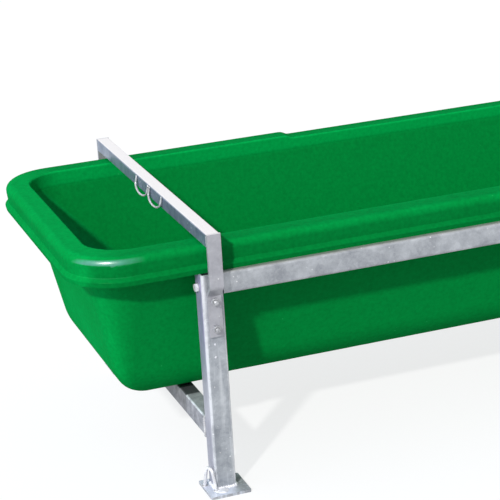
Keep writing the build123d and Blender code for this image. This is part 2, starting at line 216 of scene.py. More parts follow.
# A painted shadow of the trough on the cross tubes, darkest on their top faces.
SHADOW_GREY = (0.030, 0.031, 0.037)
SHADOW_FACES = (0.3, 0.8)
SHADOW_SHARES = (0.50, 0.93)
SHADOW_EDGE = (0.002, -0.003)
TOP_FACES = (0.55, 0.95)
# Edge of the plate's painted top light around the outer X.
TOP_LIGHT_EDGE = (-0.014, 0.010)
EDGE_HIGHLIGHT_TONES = (0.1, 0.6)
EDGE_HIGHLIGHT_LEAST = 0.4
CORNER_HIGHLIGHT_TONES = (0.0, 0.8)
CORNER_HIGHLIGHT_LEAST = 0.35
ZINC_BUMP = {"Strength": 0.35, "Distance": 0.0012}


def galvanised(name, dark, light, bloom_and_painted_top, metal, rough, spangle=130.0, cloud=17.0, runs=0.5,
               painted_top=0.0, edges=0.0, corner=0.0, outer=0.0, painted_shadow=0.0):
    """Zinc-coated steel. bloom_and_painted_top is the chalky white that zinc gets where rain
    lies on it; it tints the runs, and on faces that look up it is a painted sky highlight,
    except on the rail, where it is a darker colour that is painted shade.

    Runs, painted_top, edges and corner are the shares of zinc runs, of that colour on top
    faces, of painted highlights on rounded edges, and on the legs of a painted highlight down
    the outer corner with painted shade and sky reflection on the end faces. The top colour lies
    only beyond the outer X, leaving a painted shadow inside it, and painted_shadow is the Y
    within which a painted shadow of the trough darkens the faces.
    """
    material = bpy.data.materials.new(name)
    material.use_nodes = True
    tree = material.node_tree
    shader = tree.nodes["Principled BSDF"]
    place = put(tree, "ShaderNodeTexCoord").outputs["Object"]
    away = reaches(tree, place)
    normal = put(tree, "ShaderNodeNewGeometry").outputs["Normal"]
    upwards = axes(tree, normal)["Z"]
    skin = put(tree, "ShaderNodeGroup", node_tree=zinc_skin)
    drained = put(tree, "ShaderNodeGroup", node_tree=zinc_runs)
    for node in (skin, drained):
        tree.links.new(place, node.inputs["Vector"])
    skin.inputs["Spangle"].default_value = spangle
    skin.inputs["Cloud"].default_value = cloud
    drained.inputs["Width"].default_value = RUN_WIDTH
    tone = skin.outputs["Tone"]
    colour = tint(tree, tone, dark, light)
    colour = tint(tree, product(tree, drained.outputs["Runs"], runs), colour, bloom_and_painted_top)
    colour = tint(tree, product(tree, drained.outputs["Spots"], SPOT_SHARE), colour, SPOT_GREY)
    if painted_top:
        # Faces that look up take the top colour as a painted sky highlight; on the rail it is
        # darker, a painted shade.
        top = span(tree, upwards, TOP_FACES, (0.0, painted_top))
        if outer:
            # Only beyond the outer X: inside it the plate keeps a painted shadow of the leg.
            beyond = span(tree, away["X"], [outer + edge for edge in TOP_LIGHT_EDGE])
            top = product(tree, top, beyond)
        colour = tint(tree, top, colour, bloom_and_painted_top)
    if edges:
        # Painted highlights on the rounded edges.
        highlit_edges = put(tree, "ShaderNodeGroup", {"Normal": normal}, node_tree=edge_highlight)
        uneven = span(tree, tone, EDGE_HIGHLIGHT_TONES, (EDGE_HIGHLIGHT_LEAST * edges, edges))
        colour = tint(tree, product(tree, highlit_edges.outputs["Edge"], uneven), colour, EDGE_HIGHLIGHT_GREY)
    if corner:
        # A painted highlight down the legs' outer corners.
        highlit_corner = put(tree, "ShaderNodeGroup", {"Vector": place}, node_tree=corner_highlight)
        uneven = span(tree, tone, CORNER_HIGHLIGHT_TONES, (CORNER_HIGHLIGHT_LEAST * corner, corner))
        colour = tint(tree, product(tree, highlit_corner.outputs["Corner"], uneven), colour, CORNER_HIGHLIGHT_GREY)
        # Painted shade and sky reflection on the faces that look along the trough.
        ends = span(tree, reaches(tree, normal)["X"], END_FACES, (0.0, END_FACE_SHADE_SHARE * corner))
        end_face_shade = tint(tree, span(tree, away["Z"], END_HEIGHTS), END_FACE_SHADE_LOW, END_FACE_SHADE_HIGH)
        colour = tint(tree, ends, colour, end_face_shade)
    if painted_shadow:
        # A painted shadow of the trough, within the given Y.
        under = span(tree, away["Y"], [painted_shadow + edge for edge in SHADOW_EDGE])
        under = product(tree, under, span(tree, upwards, SHADOW_FACES, SHADOW_SHARES))
        colour = tint(tree, under, colour, SHADOW_GREY)
    tree.links.new(colour, shader.inputs["Base Color"])
    tree.links.new(sums(tree, "ADD", skin.outputs["Rough"], rough), shader.inputs["Roughness"])
    shader.inputs["Metallic"].default_value = metal
    bump = put(tree, "ShaderNodeBump", {**ZINC_BUMP, "Height": skin.outputs["Height"]})
    tree.links.new(bump.outputs["Normal"], shader.inputs["Normal"])
    return material


def dress(material, *names):
    """Gives solids of the frame their finish."""
    for name in names:
        solids[name].material_slots[0].material = material


# The cross tubes take a painted shadow of the trough within this Y.
TROUGH_SHADOW_Y = 0.180
tube_zinc = galvanised(
    "galvanised_tube", dark=(0.25, 0.27, 0.30), light=(0.49, 0.515, 0.545),
    bloom_and_painted_top=(0.66, 0.68, 0.70), metal=0.55, rough=0.46, painted_top=0.3, edges=0.7, corner=0.9)
# The rail's top takes a darker colour, a painted shade under the rim's overhang.
rail_zinc = galvanised(
    "galvanised_rail", dark=(0.27, 0.285, 0.31), light=(0.49, 0.51, 0.535),
    bloom_and_painted_top=(0.36, 0.34, 0.32), metal=0.55, rough=0.46, cloud=22.0, runs=0.0, painted_top=0.7)
cross_zinc = galvanised(
    "galvanised_cross_tube", dark=(0.13, 0.135, 0.155), light=(0.37, 0.37, 0.40),
    bloom_and_painted_top=(0.60, 0.61, 0.64), metal=0.15, rough=0.5, cloud=38.0, runs=0.2, painted_top=0.3, edges=0.8,
    painted_shadow=TROUGH_SHADOW_Y)
dress(tube_zinc, *("leg_" + corner for corner in CORNERS))
dress(cross_zinc, *("cross_tube_" + end for end in ENDS))
dress(rail_zinc, *("rail_" + side for side in SIDES))
dress(tube_zinc, *("rail_plug_" + corner for corner in CORNERS))


# Zinc pips: beads of zinc that froze on the legs and rails as they came out of the bath. They
# lie on the flats of the tubes, many on the legs and a few small ones on the rails.

PIP_RISE = (1.0, 1.0, 0.45)
FLAT_MARGIN = 0.007


def grow(name, tree, mesh, slot, **values):
    """Runs a Geometry Nodes tree on a mesh, and keeps what it makes as a plain piece."""
    piece = bpy.data.objects.new(name, mesh)
    bpy.context.scene.collection.objects.link(piece)
    maker = piece.modifiers.new(name, "NODES")
    maker.node_group = tree
    for socket in tree.interface.items_tree:
        if socket.in_out == "INPUT" and socket.name in values:
            maker[socket.identifier] = values[socket.name]
    bpy.context.view_layer.update()
    solved = piece.evaluated_get(bpy.context.evaluated_depsgraph_get())
    made = bpy.data.meshes.new_from_object(solved)
    piece.modifiers.remove(maker)
    piece.data = made
    made.name = name
    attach(piece, "root")
    return piece


def smooth(tree, last, mesh, metal):
    """Ends a tree with smooth faces and the piece's material."""
    mesh = put(tree, "GeometryNodeSetShadeSmooth", {"Geometry": mesh}).outputs[0]
    mesh = put(tree, "GeometryNodeSetMaterial", {"Geometry": mesh, "Material": metal}).outputs[0]
    give(tree, last, Geometry=mesh)


zinc_pips, first, last = group(
    "GeometryNodeTree", "zinc_pips",
    {"Geometry": "Geometry", "Density": "Float", "Small": "Float", "Large": "Float",
     "Seed": "Int", "Metal": "Material"},
    {"Geometry": "Geometry"})
spread = put(zinc_pips, "GeometryNodeDistributePointsOnFaces", {
    "Mesh": first.outputs["Geometry"], "Density": first.outputs["Density"],
    "Seed": first.outputs["Seed"]})
size = put(zinc_pips, "FunctionNodeRandomValue", {
    2: first.outputs["Small"], 3: first.outputs["Large"], "Seed": first.outputs["Seed"]})
shape = vectors(zinc_pips, "MULTIPLY", size.outputs[1], PIP_RISE)
bead = put(zinc_pips, "GeometryNodeMeshIcoSphere", {"Radius": 1.0, "Subdivisions": 2})
pips = put(zinc_pips, "GeometryNodeInstanceOnPoints", {
    "Points": spread.outputs["Points"], "Instance": bead.outputs["Mesh"],
    "Rotation": spread.outputs["Rotation"], "Scale": shape})
pips = put(zinc_pips, "GeometryNodeRealizeInstances", {"Geometry": pips.outputs[0]}).outputs[0]
smooth(zinc_pips, last, pips, first.outputs["Metal"])


def flats(names):
    """The four flat sides of straight tubes, clear of their rounded corners."""
    mesh = bmesh.new()
    for name in names:
        low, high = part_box(name)
        long = max(range(3), key=lambda axis: high[axis] - low[axis])
        for thin in (axis for axis in range(3) if axis != long):
            wide = 3 - long - thin
            for level in (low[thin], high[thin]):
                ring = []
                for u, v in ((0, 0), (1, 0), (1, 1), (0, 1)):
                    point = [0.0, 0.0, 0.0]
                    point[thin] = level
                    point[wide] = (low[wide] + FLAT_MARGIN, high[wide] - FLAT_MARGIN)[u]
                    point[long] = (low[long] + FLAT_MARGIN, high[long] - FLAT_MARGIN)[v]
                    ring.append(mesh.verts.new(point))
                face = mesh.faces.new(ring)
                face.normal_update()
                if (face.normal[thin] > 0) != (level == high[thin]):
                    face.normal_flip()
    made = bpy.data.meshes.new("flats")
    mesh.to_mesh(made)
    mesh.free()
    return made


pip_zinc = galvanised(
    "zinc_pips", dark=(0.50, 0.50, 0.51), light=(0.70, 0.70, 0.70), bloom_and_painted_top=(0.8, 0.8, 0.8),
    metal=0.55, rough=0.34)
grow("leg_pips", zinc_pips, flats(["leg_" + corner for corner in CORNERS]), "galvanised_tube",
     Density=130.0, Small=0.0004, Large=0.0012, Seed=5, Metal=pip_zinc)
grow("rail_pips", zinc_pips, flats(["rail_" + side for side in SIDES]), "galvanised_tube",
     Density=20.0, Small=0.0003, Large=0.0007, Seed=8, Metal=pip_zinc)


# Weld beads of the end frames: a fillet weld right round each leg's foot and each end of the
# cross tubes, laid by hand before dipping, so the ripples are uneven and filled in with zinc.

CROSS_TUBE = (0.030, 0.040)
RIPPLE_SHARE = 0.13
STEPS_PER_RIPPLE = 4
BEAD_SIDES = 10
BEAD_LUMPS = {"scale": 260.0, "depth": 0.0016}


def scaled(tree, vector, scale):
    node = put(tree, "ShaderNodeVectorMath", {0: vector, "Scale": scale}, operation="SCALE")
    return node.outputs["Vector"]


def roughen(tree, mesh, scale, depth):
    """Pushes a mesh about by noise that differs from place to place."""
    place = put(tree, "GeometryNodeInputPosition").outputs[0]
    push = vectors(tree, "SUBTRACT", noise(tree, place, scale).outputs["Color"], NOISE_MIDDLE)
    push = scaled(tree, push, depth)
    return put(tree, "GeometryNodeSetPosition", {"Geometry": mesh, "Offset": push}).outputs[0]


def held_turn(tree):
    """The direction or turn that spots() keeps at each place."""
    held = put(tree, "GeometryNodeInputNamedAttribute", {"Name": "turn"}, data_type="FLOAT_VECTOR")
    return held.outputs[0]


weld_bead, first, last = group(
    "GeometryNodeTree", "weld_bead",
    {"Geometry": "Geometry", "Across": "Float", "Along": "Float", "Corner": "Float",
     "Bead": "Float", "Pitch": "Float", "Metal": "Material"},
    {"Geometry": "Geometry"})
pitch = first.outputs["Pitch"]
line = put(weld_bead, "GeometryNodeCurvePrimitiveQuadrilateral", {
    "Width": first.outputs["Across"], "Height": first.outputs["Along"]}).outputs[0]
line = put(weld_bead, "GeometryNodeFilletCurve", {
    "Curve": line, "Radius": first.outputs["Corner"], "Count": 5}, mode="POLY").outputs[0]
step = product(weld_bead, pitch, 1 / STEPS_PER_RIPPLE)
line = put(weld_bead, "GeometryNodeResampleCurve", {"Curve": line, "Length": step}, mode="LENGTH")
line = line.outputs[0]
travel = put(weld_bead, "GeometryNodeSplineParameter").outputs["Length"]
wave = product(weld_bead, sums(weld_bead, "DIVIDE", travel, pitch), 2 * pi)
wave = product(weld_bead, sums(weld_bead, "SINE", wave), RIPPLE_SHARE)
wave = sums(weld_bead, "ADD", wave, 1.0)
section = put(weld_bead, "GeometryNodeCurvePrimitiveCircle", {
    "Resolution": BEAD_SIDES, "Radius": first.outputs["Bead"]}).outputs["Curve"]
bead = put(weld_bead, "GeometryNodeCurveToMesh", {
    "Curve": line, "Profile Curve": section, "Scale": wave}).outputs[0]
turn = put(weld_bead, "FunctionNodeEulerToRotation", {"Euler": held_turn(weld_bead)}).outputs[0]
beads = put(weld_bead, "GeometryNodeInstanceOnPoints", {
    "Points": first.outputs["Geometry"], "Instance": bead, "Rotation": turn}).outputs[0]
beads = put(weld_bead, "GeometryNodeRealizeInstances", {"Geometry": beads}).outputs[0]
smooth(weld_bead, last, roughen(weld_bead, beads, **BEAD_LUMPS), first.outputs["Metal"])


def spots(places, turn):
    """Places for a tree to work on, each with a direction or a turn."""
    mesh = bpy.data.meshes.new("spots")
    mesh.from_pydata(list(places), [], [])
    held = mesh.attributes.new("turn", "FLOAT_VECTOR", "POINT")
    for number, place in enumerate(places):
        held.data[number].vector = turn(place)
    return mesh


def middle(name):
    """The middle of a solid's box."""
    low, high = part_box(name)
    return (low + high) / 2


def bar_ends(name):
    """The middles of the two end faces of a bar that lies across the part."""
    low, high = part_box(name)
    x, _, z = middle(name)
    return [(x, low.y, z), (x, high.y, z)]


def lying(place):
    """The turn of a weld round the foot of an upright tube."""
    return (0, 0, 0)


def standing(place):
    """The turn of a weld round the end of a tube that lies across the part."""
    return (pi / 2, 0, 0)


weld_zinc = galvanised(
    "galvanised_weld", dark=(0.34, 0.34, 0.36), light=(0.62, 0.62, 0.63),
    bloom_and_painted_top=(0.74, 0.74, 0.74), metal=0.5, rough=0.42, cloud=60.0)
foot_weld_zinc = galvanised(
    "galvanised_foot_weld", dark=(0.62, 0.62, 0.65), light=(0.86, 0.86, 0.89),
    bloom_and_painted_top=(0.90, 0.90, 0.91), metal=0.15, rough=0.5, cloud=60.0)
PLATE_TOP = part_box("foot_plate_front_left")[1].z
legs = [middle("leg_" + side + "_" + end) for end in ENDS for side in SIDES]
leg_feet = [(x, y, PLATE_TOP) for x, y, _ in legs]
grow("leg_foot_welds", weld_bead, spots(leg_feet, lying), "galvanised_plate",
     Across=TUBE, Along=TUBE, Corner=0.006, Bead=0.0034, Pitch=0.0046, Metal=foot_weld_zinc)
tube_ends = [place for end in ENDS for place in bar_ends("cross_tube_" + end)]
grow("cross_tube_welds", weld_bead, spots(tube_ends, standing), "galvanised_tube",
     Across=CROSS_TUBE[0], Along=CROSS_TUBE[1], Corner=0.004, Bead=0.0024, Pitch=0.0042,
     Metal=weld_zinc)


# Feet: a 75 mm square of 5 mm plate under each leg, and a bent 6 mm rod stood on it as a staple
# for a chain, tacked to the plate at both ends. Zinc froze in a puddle beside each leg's foot
# and in two drips on the leg's outer face.

DAB_LUMPS = {"scale": 240.0, "depth": 0.0022}
# The plate's painted top light starts beyond this X; inside it lies a painted shadow of the leg.
PLATE_LIGHT_FROM_X = LEG_X - 0.030
PUDDLE_X = 0.011
PUDDLE_Y = 0.028
DRIP_X = 0.003
DRIP_HEIGHTS = (0.281, 0.257)
ROD_FOOT = 0.0005

# The plate's top takes a bluish white as a painted highlight, and a painted shadow of the leg nearer
# the middle.
plate_zinc = galvanised(
    "galvanised_plate", dark=(0.26, 0.27, 0.30), light=(0.50, 0.515, 0.54),
    bloom_and_painted_top=(0.78, 0.82, 0.93), metal=0.4, rough=0.45, cloud=24.0, painted_top=0.8, outer=PLATE_LIGHT_FROM_X)
rod_zinc = galvanised(
    "galvanised_rod", dark=(0.58, 0.58, 0.60), light=(0.86, 0.86, 0.87),
    bloom_and_painted_top=(0.88, 0.88, 0.88), metal=0.4, rough=0.38, cloud=45.0, runs=0.3)
dress(plate_zinc, *("foot_plate_" + corner for corner in CORNERS))
dress(rod_zinc, *("foot_loop_" + corner for corner in CORNERS))


def faced(tree):
    """The turn that points Z along the direction that spots() keeps at each place."""
    wires = {"Vector": held_turn(tree)}
    return put(tree, "FunctionNodeAlignRotationToVector", wires, axis="Z").outputs[0]


weld_dab, first, last = group(
    "GeometryNodeTree", "weld_dab",
    {"Geometry": "Geometry", "Radius": "Float", "Rise": "Float", "Metal": "Material"},
    {"Geometry": "Geometry"})
dab = put(weld_dab, "GeometryNodeMeshIcoSphere", {
    "Radius": first.outputs["Radius"], "Subdivisions": 4}).outputs["Mesh"]
flattened = put(weld_dab, "ShaderNodeCombineXYZ", {
    "X": 1.0, "Y": 1.0, "Z": first.outputs["Rise"]}).outputs[0]
dabs = put(weld_dab, "GeometryNodeInstanceOnPoints", {
    "Points": first.outputs["Geometry"], "Instance": dab, "Rotation": faced(weld_dab),
    "Scale": flattened}).outputs[0]
dabs = put(weld_dab, "GeometryNodeRealizeInstances", {"Geometry": dabs}).outputs[0]
smooth(weld_dab, last, roughen(weld_dab, dabs, **DAB_LUMPS), first.outputs["Metal"])


def rod_ends(name, near, axis):
    """The middles of a bent rod's two ends, from its points that pass the test."""
    points = [vertex.co for vertex in solids[name].data.vertices if near(vertex.co)]
    points.sort(key=lambda point: point[axis])
    half_way = (points[0][axis] + points[-1][axis]) / 2
    first_end = [point for point in points if point[axis] < half_way]
    other_end = [point for point in points if point[axis] >= half_way]
    return [tuple(sum(end, Vector()) / len(end)) for end in (first_end, other_end)]


def on_plate(point):
    return point.z < PLATE_TOP + ROD_FOOT


def outer(value, by):
    """Moves a coordinate away from the middle of the part."""
    return value + by if value > 0 else value - by


def upright(place):
    return (0, 0, 1)


def outwards_y(place):
    return (0, place[1], 0)


loop_feet = [end for corner in CORNERS for end in rod_ends("foot_loop_" + corner, on_plate, 0)]
grow("foot_loop_welds", weld_dab, spots(loop_feet, upright), "galvanised_rod",
     Radius=0.0055, Rise=0.42, Metal=weld_zinc)
puddles = [(outer(x, PUDDLE_X), outer(y, PUDDLE_Y), PLATE_TOP) for x, y, _ in legs]
grow("zinc_puddles", weld_dab, spots(puddles, upright), "galvanised_plate",
     Radius=0.0120, Rise=0.18, Metal=foot_weld_zinc)
drips = [(outer(x, DRIP_X), outer(y, TUBE / 2), z) for x, y, _ in legs for z in DRIP_HEIGHTS]
grow("zinc_drips", weld_dab, spots(drips, outwards_y), "galvanised_tube",
     Radius=0.0019, Rise=0.5, Metal=foot_weld_zinc)


# Hoops: a 25 mm square bar over each end of the trough, welded at both ends to a flat strap
# that comes down outside the rim, cranks in and lies on the leg. Dull zinc, with a painted
# white highlight on top; the bar's bluish grey is a painted sky reflection on its sides.

hoop_zinc = galvanised(
    "galvanised_hoop", dark=(0.12, 0.155, 0.215), light=(0.235, 0.28, 0.36),
    bloom_and_painted_top=(0.81, 0.78, 0.77), metal=0.45, rough=0.42, spangle=90.0, cloud=30.0, runs=0.1, painted_top=1.0)
strap_zinc = galvanised(
    "galvanised_strap", dark=(0.34, 0.34, 0.37), light=(0.45, 0.45, 0.48),
    bloom_and_painted_top=(0.72, 0.70, 0.70), metal=0.5, rough=0.46, spangle=200.0, cloud=30.0, runs=0.1, painted_top=0.8)
dress(hoop_zinc, *("hoop_bar_" + end for end in ENDS))
dress(strap_zinc, *("hoop_strap_" + corner for corner in CORNERS))
hoop_ends = [place for end in ENDS for place in bar_ends("hoop_bar_" + end)]
grow("hoop_welds", weld_bead, spots(hoop_ends, standing), "galvanised_tube",
     Across=0.024, Along=0.0205, Corner=0.003, Bead=0.0011, Pitch=0.0032, Metal=strap_zinc)


# Tether loops: two bent 4 mm rods side by side on the outer face of each hoop, tacked by their
# upper ends, for a cord or a snap hook.

LOOP_END_DEPTH = 0.0055
HOOP_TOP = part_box("hoop_bar_left")[1].z


def loop_end(point):
    return point.z > HOOP_TOP - LOOP_END_DEPTH


def outwards_x(place):
    return (place[0], 0, 0)


loop_names = ["tether_loop_" + end + "_" + side for end in ENDS for side in SIDES]
loop_zinc = galvanised(
    "galvanised_loop", dark=(0.40, 0.405, 0.42), light=(0.64, 0.645, 0.66),
    bloom_and_painted_top=(0.74, 0.74, 0.74), metal=0.5, rough=0.38, cloud=45.0, runs=0.2)
dress(loop_zinc, *loop_names)
loop_tops = [end for name in loop_names for end in rod_ends(name, loop_end, 1)]
grow("tether_welds", weld_dab, spots(loop_tops, outwards_x), "galvanised_rod",
     Radius=0.0032, Rise=0.42, Metal=loop_zinc)


# Fasteners: M8 hexagon bolts with nuts and plain washers, zinc plated and gone dull. One bolt
# goes through each leg into its rail, and two hold each strap, head inside and nut outside.

THREAD = 0.008
PITCH = 0.00125
THREAD_DEPTH = 0.00068
RINGS_PER_PITCH = 8
POINT = 0.001
POINT_RADII = (THREAD / 2 - 0.0007, THREAD / 2 - 0.0013)
FLATS = 0.013
HEAD = 0.0053
HEAD_FACE = 0.45 * FLATS
CHAMFER_START = 0.485 * FLATS
CHAMFER_SLOPE = tan(radians(30))
NUT = 0.0068
NUT_MOUTH = THREAD / 2 + 0.0004
WASHER_THICK = 0.0016
WASHER = {"inside": 0.0045, "outside": 0.008, "thick": WASHER_THICK}
ROUND_STEPS = 36
SHARP_ANGLE = radians(24)
RAIL_BOLT = {"length": 0.0606, "threaded": 0.030}
HOOP_BOLT = {"length": 0.0614, "threaded": 0.022}
RAIL_BOLT_HEIGHT = 0.384
STRAP_BOLT_HEIGHTS = (0.363, 0.312)
STRAP_THICK = 0.006


def turned(name, rings, ring_closed):
    """A mesh lathed from rings, each a function of the angle that gives radius and height."""
    mesh = bmesh.new()
    rows = []
    for ring in rings:
        row = []
        for number in range(ROUND_STEPS):
            angle = 2 * pi * number / ROUND_STEPS
            radius, height = ring(angle)
            row.append(mesh.verts.new((radius * cos(angle), radius * sin(angle), height)))
        rows.append(row)
    pairs = list(zip(rows, rows[1:]))
    if ring_closed:
        pairs.append((rows[-1], rows[0]))
    else:
        mesh.faces.new(rows[0])
        mesh.faces.new(rows[-1])
    for upper, lower in pairs:
        for number in range(ROUND_STEPS):
            after = (number + 1) % ROUND_STEPS
            mesh.faces.new((upper[number], upper[after], lower[after], lower[number]))
    bmesh.ops.recalc_face_normals(mesh, faces=mesh.faces)
    made = bpy.data.meshes.new(name)
    mesh.to_mesh(made)
    mesh.free()
    for face in made.polygons:
        face.use_smooth = True
    made.set_sharp_from_angle(angle=SHARP_ANGLE)
    return bpy.data.objects.new(name, made)


def plain(radius, height):
    return lambda angle: (radius, height)


def hexagon(angle):
    """How far a hexagon's side is from its middle at an angle."""
    return FLATS / 2 / cos((angle + pi / 6) % (pi / 3) - pi / 6)


def chamfered(height, way):
    """A hexagon's edge, cut back by the cone that chamfers its corners."""
    def ring(angle):
        past = max(0.0, hexagon(angle) - CHAMFER_START)
        return hexagon(angle), height - way * past * CHAMFER_SLOPE
    return ring


def thread(height):
    """One ring of a V thread, whose ridge climbs with the angle."""
    def ring(angle):
        phase = (height / PITCH - angle / (2 * pi)) % 1.0
        return THREAD / 2 - THREAD_DEPTH * abs(2 * phase - 1), height
    return ring


def bolt(name, length, threaded):
    """A bolt with its head's seat at zero, the head above and the shank below."""
    thread_top = threaded - length
    turns = (threaded - POINT) / PITCH
    rings = [plain(HEAD_FACE, HEAD), plain(CHAMFER_START, HEAD), chamfered(HEAD, 1)]
    rings += [chamfered(0, 0), plain(THREAD / 2, 0), plain(THREAD / 2, thread_top)]
    for step in range(1, int(turns * RINGS_PER_PITCH)):
        rings.append(thread(thread_top - PITCH / RINGS_PER_PITCH * step))
    rings += [plain(POINT_RADII[0], POINT - length), plain(POINT_RADII[1], -length)]
    return turned(name, rings, False)


def ringed(name, inside, outside, thick):
    """A stamped washer with its edges rolled over a little."""
    soft = thick / 5
    rings = [plain(inside, 0), plain(outside - soft, 0), plain(outside, soft),
             plain(outside, thick - soft), plain(outside - soft, thick),
             plain(inside + soft, thick), plain(inside, thick - soft)]
    return turned(name, rings, True)


def hexagon_nut(name):
    """A nut with its seat at zero, chamfered on both faces."""
    rings = [plain(THREAD / 2, 0), plain(CHAMFER_START, 0), chamfered(0, -1),
             chamfered(NUT, 1), plain(CHAMFER_START, NUT), plain(NUT_MOUTH, NUT)]
    return turned(name, rings, True)


set_fasteners, first, last = group(
    "GeometryNodeTree", "set_fasteners",
    {"Geometry": "Geometry", "Fastener": "Object", "Seed": "Int", "Metal": "Material"},
    {"Geometry": "Geometry"})
one = put(set_fasteners, "GeometryNodeObjectInfo", {
    "Object": first.outputs["Fastener"], "As Instance": True}).outputs["Geometry"]
angle = put(set_fasteners, "FunctionNodeRandomValue", {
    2: 0.0, 3: pi / 3, "Seed": first.outputs["Seed"]}).outputs[1]
spun = put(set_fasteners, "FunctionNodeAxisAngleToRotation", {
    "Axis": (0, 0, 1), "Angle": angle}).outputs[0]
turn = put(set_fasteners, "FunctionNodeRotateRotation", {
    "Rotation": faced(set_fasteners), "Rotate By": spun}, rotation_space="LOCAL").outputs[0]
fixed = put(set_fasteners, "GeometryNodeInstanceOnPoints", {
    "Points": first.outputs["Geometry"], "Instance": one, "Rotation": turn}).outputs[0]
fixed = put(set_fasteners, "GeometryNodeRealizeInstances", {"Geometry": fixed}).outputs[0]
fixed = put(set_fasteners, "GeometryNodeSetMaterial", {
    "Geometry": fixed, "Material": first.outputs["Metal"]}).outputs[0]
give(set_fasteners, last, Geometry=fixed)

bolt_zinc = galvanised(
    "zinc_fastener", dark=(0.30, 0.305, 0.32), light=(0.50, 0.505, 0.52),
    bloom_and_painted_top=(0.70, 0.70, 0.70), metal=0.5, rough=0.52, spangle=300.0, cloud=90.0, runs=0.0)


def fasten(node, pattern, places, turn, seed, metal=bolt_zinc):
    """Sets one kind of fastener at its places, instead of the frame's plain solids."""
    bpy.context.scene.collection.objects.link(pattern)
    piece = grow("set_of_" + node, set_fasteners, spots(places, turn), "zinc_fastener",
                 Fastener=pattern, Seed=seed, Metal=metal)
    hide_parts(node)
    bpy.data.objects.remove(pattern)


def inwards_y(place):
    return (0, -place[1], 0)


rail_seats = [(outer(x, TUBE / 2), y, RAIL_BOLT_HEIGHT) for x, y, _ in legs]
rail_heads = [(outer(x, WASHER_THICK), y, z) for x, y, z in rail_seats]
strap_bolts = [(x, y, z) for x, y, _ in legs for z in STRAP_BOLT_HEIGHTS]
inner_seats = [(x, outer(y, -TUBE / 2 - WASHER_THICK), z) for x, y, z in strap_bolts]
nut_seats = [(x, outer(y, TUBE / 2 + STRAP_THICK), z) for x, y, z in strap_bolts]
fasten("rail_washers", ringed("washer", **WASHER), rail_seats, outwards_x, seed=1)
# The rail bolts take the whiter rod zinc, a painted highlight of their sunlit heads.
fasten("rail_bolts", bolt("rail_bolt", **RAIL_BOLT), rail_heads, outwards_x, seed=2, metal=rod_zinc)
fasten("hoop_washers_inner", ringed("washer", **WASHER), inner_seats, outwards_y, seed=4)
fasten("hoop_bolts", bolt("hoop_bolt", **HOOP_BOLT), inner_seats, inwards_y, seed=5)
fasten("hoop_nuts", hexagon_nut("hoop_nut"), nut_seats, outwards_y, seed=6)


# Trough: one rotationally moulded shell of green polyethylene, 6 mm thick. The outside took its
# sheen and faint orange peel from the mould, the inside set free in the oven and is duller.
# Tints by place are painted light and shade: a painted bluish sky reflection on the rim's
# corners, whose coat is also glossier; painted shade on the skirt, on faces that look up and
# on the long sides; painted light on the inner face under the rim and in the sun's shadow
# inside the ends.

BODY_GREENS = ((0.0004, 0.235, 0.040), (0.0006, 0.275, 0.051))
# Painted shade on the long sides, skirt and faces that look up; painted light under the inner rim
# and in the shadow inside the ends; a painted sky reflection on the rim's corners.
LONG_SIDE_SHADE_GREEN = (0.0004, 0.208, 0.036)
LIP_LIGHT_GREEN = (0.0006, 0.300, 0.056)
RIM_TOP_SHADE_GREENS = ((0.0005, 0.188, 0.036), (0.0006, 0.275, 0.053))
INSIDE_GREEN = (0.0003, 0.168, 0.028)
SHADOW_FILL_GREEN = (0.0009, 0.272, 0.066)
SKIRT_SHADE_GREEN = (0.0003, 0.150, 0.026)
CROWN_REFLECTION_GREEN = (0.004, 0.24, 0.19)
SCUFF_GREEN = (0.03, 0.42, 0.12)
LONG_SIDE_SHADE_SHARE = 0.85
RIM_TOP_SHADE_SHARE = 0.7
INSIDE_SHARE = 0.75
SKIRT_SHADE_SHARE = 0.8
SKIRT_END_SHADE_SHARE = 0.40
CROWN_REFLECTION_SHARE = 0.6
SCUFF_SHARE = 0.6
SCUFF_EDGE = (0.10, 0.04)
SCUFF_AREA_EDGE = (0.60, 0.66)
MOTTLE_TONE = (0.88, 1.12)
MOTTLE_ROUGH = (-0.03, 0.04)
BODY_ROUGH = (0.26, 0.34)
INSIDE_ROUGH = 0.16
PEEL_HEIGHT = 0.12
SWELL_HEIGHT = 0.9
CROWN_COAT = (0.01, 0.75)
# Places in metres: X from the middle along the trough, Y across it, Z up.
OPENING_MIDDLE = (0.0, 0.0, 0.40)
INSIDE_EDGE = (0.02, -0.06)
INSIDE_Z = (0.437, 0.425)
CROWN_X = (0.750, 0.800)
CROWN_Z = (0.424, 0.438)
LIP_Z = (0.429, 0.435)
SKIRT_X = (0.848, 0.862)
SKIRT_Y = (0.272, 0.289)
SKIRT_Z = (0.468, 0.444)
LONG_SIDE_Z = (0.436, 0.428)
RIM_TOP_X = (0.76, 0.83)
SHADOW_FILL_SLOPE = 0.94
SHADOW_FILL_X = (0.388, 0.420)
SHADOW_FILL_Z = (0.22, 0.30)
# Ways that a face looks: the reach of its normal across the trough, and its normal's Z.
CROWN_SIDEWAYS = (0.35, 0.60)
CROWN_NOT_LEVEL = (0.80, 0.62)
CROWN_NOT_STEEP = (0.06, 0.22)
LONG_SIDE_SIDEWAYS = (0.60, 0.90)
RIM_TOP_LEVEL = (0.75, 0.95)

green = bpy.data.materials.new("green_plastic")
green.use_nodes = True
tree = green.node_tree
shader = tree.nodes["Principled BSDF"]
place = put(tree, "ShaderNodeTexCoord").outputs["Object"]
normal = put(tree, "ShaderNodeNewGeometry").outputs["Normal"]
along, across, height = reaches(tree, place)
sideways = reaches(tree, normal)["Y"]
upwards = axes(tree, normal)["Z"]

facing_in = vectors(tree, "DOT_PRODUCT", normal, vectors(tree, "SUBTRACT", place, OPENING_MIDDLE))
facing_in = span(tree, facing_in, INSIDE_EDGE)
facing_out = span(tree, facing_in, (1.0, 0.0))
inside = product(tree, facing_in, span(tree, height, INSIDE_Z))
